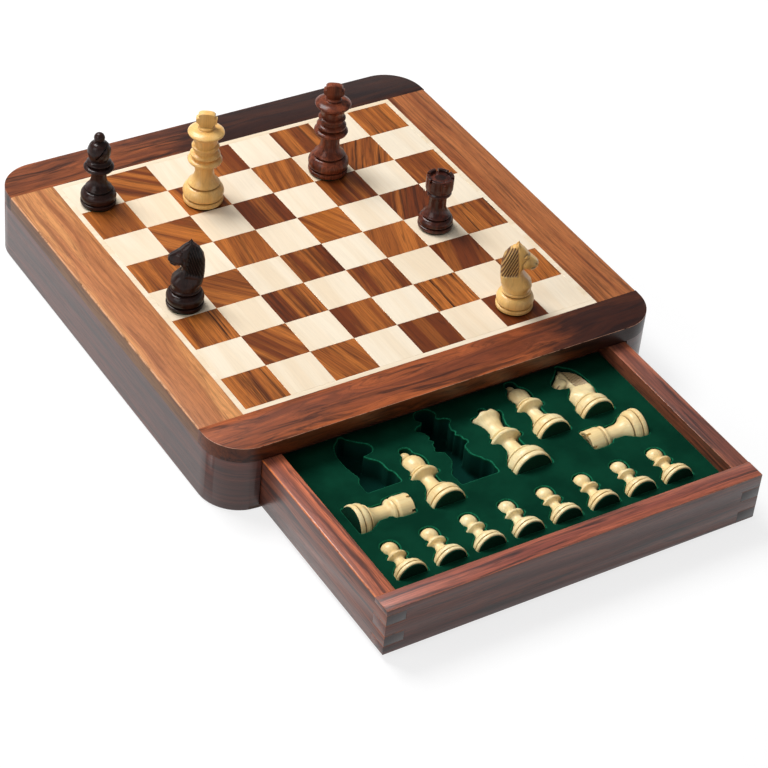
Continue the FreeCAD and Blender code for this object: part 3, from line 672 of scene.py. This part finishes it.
def turned(name, outline):
    """Draw an outline and spin it round the lathe's axis. Its grooves and the necks under its collars get
    painted shade.
    """
    points = swelled(outline)
    if name in KNOBS:
        middle, radius = KNOBS[name]
        start = math.asin(max(-1, min(1, (points[-1][1] - middle) / radius)))
        start = min(start, -math.acos(min(1, points[-1][0] / radius)))
        for n in range(1, 14):
            turn = start + (math.pi / 2 - start) * n / 14
            points.append((radius * math.cos(turn), middle + radius * math.sin(turn)))
        points.append((0, middle + radius))
    points = [Vector((r / 1000, 0, z / 1000)) for r, z in points]
    piece = drawn(points)
    bpy.ops.mesh.spin(steps=56, angle=math.tau, center=(0, 0, 0), axis=(0, 0, 1))
    bpy.ops.mesh.select_all(action="SELECT")
    bpy.ops.mesh.remove_doubles(threshold=0.000004)
    down_tools()
    piece.name = name
    # Painted shade: a vertex grows darker the further it sits in from the outline just above and below it, in
    # grooves and under collars.
    piece.data.attributes.new("carved", "FLOAT", "POINT")
    painted_shade = piece.data.attributes["carved"]
    for place, point in enumerate(piece.data.vertices):
        out = math.hypot(point.co.x, point.co.y)
        above = max((line.x for line in points if 0 <= line.z - point.co.z < 0.001), default=out)
        below = max((line.x for line in points if 0 <= point.co.z - line.z < 0.001), default=out)
        painted_shade.data[place].value = 0.8 * max(0, min(1, (min(above, below) - out) / 0.0009))
    return piece


def worked(piece, kind, **settings):
    """Put one modifier on a piece, set it and apply it."""
    take_up(piece)
    step = piece.modifiers.new(kind.lower(), kind)
    for word, value in settings.items():
        setattr(step, word, value)
    bpy.ops.object.modifier_apply(modifier=step.name)


def carve(piece, cutter):
    """Cut one shape away from another and put the cutter away."""
    worked(piece, "BOOLEAN", operation="DIFFERENCE", solver="EXACT", object=cutter)
    bpy.data.objects.remove(cutter)


pattern = {kind: turned(kind, outline) for kind, outline in OUTLINES.items()}
# the rook's battlements: six narrow saw cuts through the rim
for n in range(6):
    saw = plank("saw", (0.0062, -0.0008, 0.0351), (0.012, 0.0008, 0.0390))
    saw.data.transform(Matrix.Rotation(math.tau * n / 6, 4, "Z"))
    carve(pattern["rook"], saw)
# the bishop's mouth: one slanting saw cut in the mitre
saw = plank("saw", (-0.0035, -0.012, -0.00045), (0.012, 0.012, 0.00045))
saw.data.transform(Matrix.Translation((0.0006, 0, 0.0385)) @ Matrix.Rotation(math.radians(-50), 4, "Y"))
carve(pattern["bishop"], saw)
# the queen's coronet: nine shallow dips filed in its rim
for point in pattern["queen"].data.vertices:
    out = math.hypot(point.co.x, point.co.y)
    if out > 0.0084 and point.co.z > 0.0513:
        point.co.z -= 0.0006 - 0.0006 * math.cos(9 * math.atan2(point.co.y, point.co.x))

# ----------------------------------------
# King's finial. A flat cross with flared arms, sawn from the same billet, filed at
# the edges and pegged into the crown.
# ----------------------------------------
HALF_CROSS = [
    (3.9, 54.6), (4.1, 56.0), (5.2, 57.2), (6.35, 58.2), (6.45, 59.4), (6.45, 60.6), (5.6, 61.2), (4.6, 61.3),
    (4.9, 62.0), (5.3, 62.6), (5.2, 63.0), (4.3, 63.9), (2.6, 64.4), (1.2, 64.5),
]
edge = HALF_CROSS + [(-y, z) for y, z in reversed(HALF_CROSS)]


def sawn(name, edge, thickness):
    """Draw a flat shape's edge, close it and saw it out to its thickness along X."""
    piece = drawn(edge)
    bpy.ops.mesh.edge_face_add()
    bpy.ops.transform.translate(value=(-thickness / 2, 0, 0))
    bpy.ops.mesh.extrude_region_move(TRANSFORM_OT_translate={"value": (thickness, 0, 0)})
    down_tools()
    piece.name = name
    return piece


cross = sawn("cross", [Vector((0, y / 1000, z / 1000)) for y, z in edge], 0.0048)
ease(cross, 0.0005, 3, lambda a, b: abs(a.x - b.x) < HAIR)
joined([pattern["king"], cross])

# ----------------------------------------
# Knight's head. Sawn to its side view, rounded to a narrow muzzle and ears, then
# carved by hand: mane in slanting gouge cuts, cheek, eye and mouth.
# ----------------------------------------
PROFILE = [
    (-8.6, 14.2), (-9.8, 18.5), (-10.7, 23.5), (-10.9, 28.5), (-10.7, 33.5), (-9.6, 38.0), (-7.6, 41.8),
    (-5.2, 43.8), (-3.7, 44.6), (-3.1, 45.8), (-2.2, 47.4), (-1.4, 46.0), (-0.4, 44.7), (1.5, 43.2),
    (3.2, 41.4), (5.2, 39.2), (7.6, 37.4), (9.8, 35.7), (10.85, 34.0), (10.9, 32.5), (10.0, 31.0),
    (9.0, 29.8), (7.6, 29.2), (6.2, 29.3), (5.0, 29.9), (3.2, 29.8), (2.0, 28.4), (2.4, 26.6), (4.2, 24.2),
    (6.6, 21.6), (8.4, 19.2), (8.9, 16.8), (8.5, 14.2),
]
head = sawn("head", [Vector((0, x / 1000, z / 1000)) for x, z in PROFILE], 0.0170)
head.data.transform(Matrix.Rotation(-math.pi / 2, 4, "Z"))
worked(head, "REMESH", mode="VOXEL", voxel_size=0.0004)
CUTS = [  # points of a gouge cut in side view, its width, its depth
    ([(-2.3, 44.0), (-1.6, 38.0), (-0.6, 32.0), (-0.4, 25.5)], 0.45, 0.55),
    ([(3.0, 36.6), (1.6, 34.0), (1.9, 31.0), (4.4, 29.6)], 0.6, 0.45),
    ([(10.9, 31.4), (9.0, 31.3), (7.2, 31.7)], 0.4, 0.8),
    ([(9.4, 34.2), (9.8, 33.7)], 0.45, 0.55),
    ([(2.0, 39.4), (3.2, 40.4), (5.2, 39.4)], 0.4, 0.5),
    ([(2.4, 37.9), (3.6, 37.5), (4.8, 38.0)], 0.35, 0.4),
]
MANE = []
for n in range(-3, 7):
    x, z = -11.2 + 1.6 * n, 24.6 + 0.2 * n
    MANE.append([(x, z), (x + 7.4, z + 18.6)])


def gap_to(line, x, z):
    """The distance in side view from a point to a line of points."""
    best = 99.0
    for (x0, z0), (x1, z1) in zip(line, line[1:]):
        dx, dz = x1 - x0, z1 - z0
        t = max(0.0, min(1.0, ((x - x0) * dx + (z - z0) * dz) / (dx * dx + dz * dz)))
        best = min(best, math.hypot(x - x0 - t * dx, z - z0 - t * dz))
    return best


def soft_step(low, high, value):
    t = max(0.0, min(1.0, (value - low) / (high - low)))
    return t * t * (3 - 2 * t)


head.data.attributes.new("carved", "FLOAT", "POINT")
WIDTHS = [(14, 8.4), (18, 7.2), (23, 6.0), (30, 5.3), (37, 4.7), (42, 3.9), (48, 2.3)]
edge_line = PROFILE + PROFILE[:1]
for place, point in enumerate(head.data.vertices):
    x, y, z = point.co * 1000
    steps = zip(WIDTHS, WIDTHS[1:])
    widths = (w0 + (w1 - w0) * (z - z0) / (z1 - z0) for (z0, w0), (z1, w1) in steps if z <= z1)
    half = next(widths, WIDTHS[-1][1])
    half *= 1 - 0.36 * soft_step(2.5, 10.5, x) * soft_step(24, 28, z)
    rim = gap_to(edge_line, x, z)
    round_over = 0.36 + 0.64 * math.sqrt(1 - (1 - min(rim / 3.6, 1)) ** 2)
    if z < 20:
        foot = math.sqrt(max(0.5, 8.5 * 8.5 - x * x))
        share = soft_step(20, 14.4, z)
        half = half * round_over * (1 - share) + foot * share
    else:
        half *= round_over
    depth = 0.0
    for line, width, cut in CUTS:
        away = gap_to(line, x, z)
        if away < 3 * width:
            depth = max(depth, cut * math.exp(-((away / width) ** 2)))
    if x < -0.4 - 0.11 * (z - 26):
        for line in MANE:
            away = gap_to(line, x, z)
            if away < 1:
                depth = max(depth, 1.0 * math.exp(-((away / 0.5) ** 2)))
    # Painted shade: the gouge cuts are darkened as deep as they are cut.
    head.data.attributes["carved"].data[place].value = min(1.0, 1.2 * depth)
    eye = math.hypot(x - 3.5, z - 38.9)
    cheek = math.hypot(x - 4.6, z - 33.4)
    half += 0.5 * math.exp(-((eye / 0.8) ** 2)) + 0.35 * math.exp(-((cheek / 2.4) ** 2)) - depth
    point.co.y = (y / 8.5) * max(0.6, half) / 1000
    if z > 44.6:
        point.co.z -= 0.0018 * soft_step(1.1, 0.2, abs(point.co.y) * 1000) * soft_step(44.6, 46.2, z)
worked(head, "SMOOTH", iterations=1, factor=0.4)
joined([pattern["knight"], head])

# ----------------------------------------
# Velvet trays. A carved block with a hollow for each man, cut straight down round his
# outline, is wrapped in dark green velvet. Every edge is soft. Where the cloth turns into a
# hollow it is paler, for the pile opening there and for a painted sheen, and the velvet below
# the tray's top gets a bluer green painted for the hollows' shade.
# ----------------------------------------
velvet, tree, cloth = new_material("green velvet")
place = in_millimetres(tree)
brushed = speckle(tree, place, 0.035, 3.0, 0.6)
fluff = speckle(tree, place, 1.6, 3.0, 0.7)
colour = lay_over(tree, rise(tree, brushed, 0.35, 0.65), tint(2, 48, 33), tint(6, 60, 42))
# Painted shade: the velvet below the tray's top gets its own bluer green, set for how the hollows look in
# their shade.
hollow_shade_tone = rise(tree, put(tree, "SeparateXYZ", {0: place}).outputs[2], 25.0, 22.0)
colour = lay_over(tree, hollow_shade_tone, colour, tint(5, 50, 42))
# Paler where the cloth turns into a hollow: partly the pile opening there, partly a painted sheen.
upward = facing(tree)
pile_and_sheen_rim = reckon(tree, "MULTIPLY", rise(tree, upward, 0.15, 0.5), rise(tree, upward, 0.99, 0.85))
pile_and_sheen_rim = reckon(tree, "MULTIPLY", pile_and_sheen_rim, rise(tree, fluff, 0.3, 0.6))
pile_and_sheen_rim = reckon(tree, "MULTIPLY", pile_and_sheen_rim, reckon(tree, "MULTIPLY_ADD", hollow_shade_tone, -0.8, 0.8))
colour = lay_over(tree, pile_and_sheen_rim, colour, tint(34, 128, 92))
tree.links.new(colour, cloth.inputs["Base Color"])
dial(cloth, {
    "Roughness": 0.95, "Specular IOR Level": 0.06, "Sheen Weight": 0.1, "Sheen Roughness": 0.4,
    "Sheen Tint": tint(60, 170, 120),
})
nap = put(tree, "Bump", {"Height": fluff, "Strength": 0.35, "Distance": 0.0003})
tree.links.new(nap.outputs[0], cloth.inputs["Normal"])

OPEN = 0.1335  # how far the front drawer is drawn out, in metres
HEAD_LINE = 141.3  # the back of the tray and the top of the velvet, in millimetres
VELVET = 25.7
LYING = {  # man, across from the middle, back from the face, heading, depth under the velvet, roll
    "rook_1": ("rook", -100.0, 77.5, 0, 2.5, 0), "rook_2": ("rook", 96.0, 77.5, 180, 2.5, 0),
    "knight_1": ("knight", -68.0, HEAD_LINE - 47.5, 90, 2.5, -90),
    "knight_2": ("knight", 79.0, HEAD_LINE - 47.5, 90, 2.5, 90),
    "bishop_1": ("bishop", -42.0, 66.0, 90, 2.5, 0),
    "bishop_2": ("bishop", 45.5, HEAD_LINE - 51.5, 90, 2.5, 0),
    "king": ("king", -15.0, HEAD_LINE - 64.5, 90, 3.5, 0), "queen": ("queen", 17.5, 70.0, 90, 3.5, 0),
}
for n in range(8):
    LYING[f"pawn_{n + 1}"] = ("pawn", -2.0 + (n - 3.5) * 25.5, 25.5, 90, 2.0, 0)


def from_above(kind, roll):
    """The line round a laid man seen from above, from foot to head, a little larger than he is."""
    step, slack = 0.7, 0.15
    turn = Matrix.Rotation(math.radians(roll), 4, "Z")
    points = [turn @ point.co * 1000 for point in pattern[kind].data.vertices]
    reach = {}
    for link in pattern[kind].data.edges:
        low, high = sorted((points[n] for n in link.vertices), key=lambda point: point.z)
        for n in range(math.floor(low.z / step), math.ceil(high.z / step) + 1):
            share = (min(max(n * step, low.z), high.z) - low.z) / max(high.z - low.z, 0.000001)
            out = low.y + (high.y - low.y) * share
            left, right = reach.get(n, (0.0, 0.0))
            reach[n] = (max(left, out), min(right, out))
    foot = min(reach)
    reach[foot - 1] = reach[foot]
    order = sorted(reach)
    around = [(n * step, reach[n][0] + slack) for n in order]
    around += [(n * step, reach[n][1] - slack) for n in reversed(order)]
    return [Vector((0, across / 1000, along / 1000)) for along, across in around]


def laid_at(which, hollow, height):
    """A hollow's place, with X along the man. The front drawer is out, and the rear one faces back."""
    kind, across, back, heading, sink, roll = LYING[hollow]
    way = Matrix.Translation((0, -OPEN, 0)) if which == "front" else Matrix.Rotation(math.pi, 4, "Z")
    place = Matrix.Translation((across / 1000, back / 1000 - OUTER, height))
    return way @ place @ Matrix.Rotation(math.radians(heading), 4, "Z")


for which in ("front", "rear"):
    low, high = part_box(f"{which}_drawer_tray")
    tray = plank(f"{which}_velvet_tray", low, high)
    hollows = []
    for name, (kind, *_, sink, roll) in LYING.items():
        hollow = sawn(name, from_above(kind, roll), 0.040)
        floor = (VELVET - sink - MAN_WIDTH[kind] / 2 - 0.4) / 1000
        # the sawn shape lies along Z and is thick along X; it is laid along X with its thickness upright
        hollow.data.transform(Matrix.Translation((0, 0, 0.020)) @ Matrix.Rotation(math.pi / 2, 4, "Y"))
        hollow.data.transform(laid_at(which, name, floor))
        hollows.append(hollow)
    carve(tray, joined(hollows))
    worked(tray, "REMESH", mode="VOXEL", voxel_size=0.00075)
    worked(tray, "SMOOTH", iterations=4, factor=0.5)
    worked(tray, "DECIMATE", ratio=0.3)
    finish_piece(tray, velvet, f"{which}_drawer", [f"{which}_drawer_tray"], 60)

# ----------------------------------------
# The set. Each man is cut from his own stick of wood, with the grain up his middle.
# Two white and four black men stand on the board, and the others lie in their
# hollows, leaning a little foot down.
# ----------------------------------------
POLISH = {
    "boxwood": timber(
        "boxwood", (255, 234, 180), (253, 220, 156), (216, 158, 88), grain="z", figure="grain", spacing=4.5,
        streaks=0.1, lines=0.12, pores=0.0, waver=3.0, tone=0.35, coat=0.25, coat_rough=0.22, gloss=0.35,
        carved=(112, 68, 30),
    ),
    "aged boxwood": timber(
        "aged boxwood", (250, 206, 132), (244, 190, 106), (194, 130, 62), grain="z", figure="grain",
        spacing=4.5, streaks=0.14, lines=0.15, pores=0.0, waver=3.0, tone=0.4, coat=0.3, coat_rough=0.2,
        gloss=0.35, carved=(96, 54, 22),
    ),
    "black stained": timber(
        "black stained wood", (54, 33, 29), (36, 22, 20), (14, 9, 9), grain="z", figure="grain", spacing=3.0,
        streaks=0.4, lines=0.2, pores=0.1, waver=3.0, tone=0.5, coat=0.28, coat_rough=0.12, gloss=0.08,
        carved=(8, 5, 5),
    ),
    "brown stained": timber(
        "brown stained wood", (140, 72, 46), (98, 48, 33), (36, 18, 14), grain="z", figure="grain",
        spacing=2.6, streaks=0.55, lines=0.3, pores=0.15, waver=3.0, tone=0.5, coat=0.26, coat_rough=0.14,
        gloss=0.12, carved=(16, 8, 7),
    ),
    "red stained": timber(
        "red stained wood", (104, 50, 34), (66, 32, 25), (28, 15, 14), grain="z", figure="grain", spacing=2.8,
        streaks=0.5, lines=0.3, pores=0.15, waver=3.0, tone=0.55, coat=0.35, coat_rough=0.14, gloss=0.15,
        carved=(16, 8, 7),
    ),
}
felt, tree, cloth = new_material("green felt")
fluff = speckle(tree, in_millimetres(tree), 2.4, 3.0, 0.7)
colour = lay_over(tree, rise(tree, fluff, 0.3, 0.7), tint(3, 36, 24), tint(14, 62, 44))
tree.links.new(colour, cloth.inputs["Base Color"])
dial(cloth, {"Roughness": 0.95, "Specular IOR Level": 0.1})
nap = put(tree, "Bump", {"Height": fluff, "Strength": 0.5, "Distance": 0.0003})
tree.links.new(nap.outputs[0], cloth.inputs["Normal"])

pads = {}
for kind, width in MAN_WIDTH.items():
    bpy.ops.object.select_all(action="DESELECT")
    radius, thick = width / 2000 - 0.0008, PAD / 1000
    bpy.ops.mesh.primitive_cylinder_add(vertices=40, radius=radius, depth=thick, location=(0, 0, thick / 2))
    pads[kind] = bpy.context.object
    bpy.ops.object.transform_apply(location=True, rotation=True, scale=True)
    ease(pads[kind], 0.00025, 2, lambda a, b: max(a.z, b.z) < HAIR)

chance = random.Random(21)


def set_man(name, kind, wood, body, where):
    """One man and his felt pad, from the pattern, at his place."""
    piece = set_out(f"{name}_turned", pattern[kind].data.copy())
    pad = set_out(f"{name}_felt_pad", pads[kind].data.copy())
    slip = Vector([chance.uniform(-400, 400) for n in range(3)])
    piece.data.attributes.new("grain", "FLOAT_VECTOR", "POINT")
    grain = piece.data.attributes["grain"]
    for n, point in enumerate(piece.data.vertices):
        grain.data[n].vector = point.co * 1000 + slip
    for part in (piece, pad):
        part.data.transform(where)
    finish_piece(piece, POLISH[wood], body, [name], 40)
    finish_piece(pad, felt, body, [], 40)


def on_square(file, rank, aside, ahead, turn):
    """Set down near a square's middle: so far to the right of it and so far back."""
    foot = ((file - 3.5) * SQUARE + aside / 1000, (rank - 3.5) * SQUARE + ahead / 1000, TOP)
    return Matrix.Translation(foot) @ Matrix.Rotation(math.radians(turn), 4, "Z")


def in_tray(man, which):
    """Laid down in his hollow, leaning 3 degrees past the level."""
    *_, sink, roll = LYING[man]
    lean = Matrix.Rotation(math.radians(93), 4, "Y") @ Matrix.Rotation(math.radians(roll), 4, "Z")
    return laid_at(which, man, (VELVET - sink) / 1000) @ lean


jointed = {joint["child"] for joint in frame["joints"]}
for name, kind, wood, *place in (
    ("white_king", "king", "aged boxwood", 2, 6, 0.5, -3.0, 57),
    ("white_knight_1", "knight", "aged boxwood", 6, 0, -0.5, 0.5, -33),
    ("black_king", "king", "brown stained", 5, 6, -1.0, -7.5, 57),
    ("black_rook_1", "rook", "red stained", 6, 3, 0.0, 1.5, 15),
    ("black_knight_1", "knight", "black stained", 0, 3, -0.5, -3.5, 147),
    ("black_bishop_1", "bishop", "black stained", 0, 7, -0.5, -8.5, -31),
):
    set_man(name, kind, wood, name, on_square(*place))
laid_out = ["rook_1", "bishop_1", "queen", "bishop_2", "knight_2", "rook_2"]
laid_out += [f"pawn_{n + 1}" for n in range(8)]
for side, which, wood in (("white", "front", "boxwood"), ("black", "rear", "black stained")):
    for man in laid_out:
        name = f"{side}_{man}"
        if name in frame["nodes"] and name not in ("black_rook_1", "black_bishop_1"):
            body = name if name in jointed else f"{which}_drawer"
            set_man(name, LYING[man][0], wood, body, in_tray(man, which))
for spare in list(pattern.values()) + list(pads.values()):
    bpy.data.objects.remove(spare)

# ----------------------------------------
# Photographing table. A seamless white table, soft lamps from above and behind, and
# the camera at standing height before the left front corner.
# ----------------------------------------
white, tree, cloth = new_material("white table")
dial(cloth, {"Base Color": (0.26, 0.26, 0.26, 1), "Roughness": 0.7, "Specular IOR Level": 0.2})
ray = put(tree, "LightPath").outputs
seen = reckon(tree, "MAXIMUM", ray["Is Glossy Ray"], ray["Is Transmission Ray"])
seen = reckon(tree, "MAXIMUM", ray["Is Camera Ray"], seen)
glow = put(tree, "Emission", {"Color": (1, 1, 1, 1), "Strength": reckon(tree, "MULTIPLY", seen, 0.77)})
both = put(tree, "AddShader", {0: cloth.outputs[0], 1: glow.outputs[0]})
tree.links.new(both.outputs[0], tree.nodes["Material Output"].inputs["Surface"])
for name, add, sizes in (
    ("white_table", bpy.ops.mesh.primitive_plane_add, {"size": 12, "location": (0, 0, -0.0002)}),
    ("white_backdrop", bpy.ops.mesh.primitive_cylinder_add,
     {"vertices": 96, "radius": 5.8, "depth": 1.6, "location": (0, 0, 0.79), "end_fill_type": "NOTHING"}),
):
    bpy.ops.object.select_all(action="DESELECT")
    add(**sizes)
    part = bpy.context.object
    part.name = name
    bpy.ops.object.transform_apply(location=True, rotation=False, scale=True)
    part.data.materials.append(white)

world = bpy.data.worlds.new("studio")
bpy.context.scene.world = world
world.use_nodes = True
dial(world.node_tree.nodes["Background"], {"Color": (0.97, 0.98, 1, 1), "Strength": 0.24})


def hang_lamp(name, place, aim, size, power):
    lamp = bpy.data.lights.new(name, "AREA")
    lamp.shape = "SQUARE"
    lamp.size = size
    lamp.energy = power
    holder = set_out(name, lamp)
    holder.location = place
    holder.rotation_euler = (Vector(aim) - Vector(place)).to_track_quat("-Z", "Y").to_euler()


hang_lamp("overhead softbox", (-0.35, 0.75, 1.5), (0, -0.05, 0), 0.8, 27)
hang_lamp("left fill", (-1.5, -0.2, 0.9), (0, 0, 0), 1.0, 8)

camera = set_out("camera", bpy.data.cameras.new("camera"))
camera.data.sensor_width = 36
camera.data.lens = 122.99
camera.data.clip_end = 50
across = Vector((0.85110285, -0.51824210, 0.08395873))
up = Vector((0.27208405, 0.57218157, 0.77367857))
back = Vector((-0.44899244, -0.63563620, 0.62799077))
stand = Matrix.Translation((-0.70866, -1.08508, 0.98723))
camera.matrix_world = stand @ Matrix((across, up, back)).transposed().to_4x4()
bpy.context.scene.camera = camera
bpy.context.scene.view_settings.view_transform = "Standard"
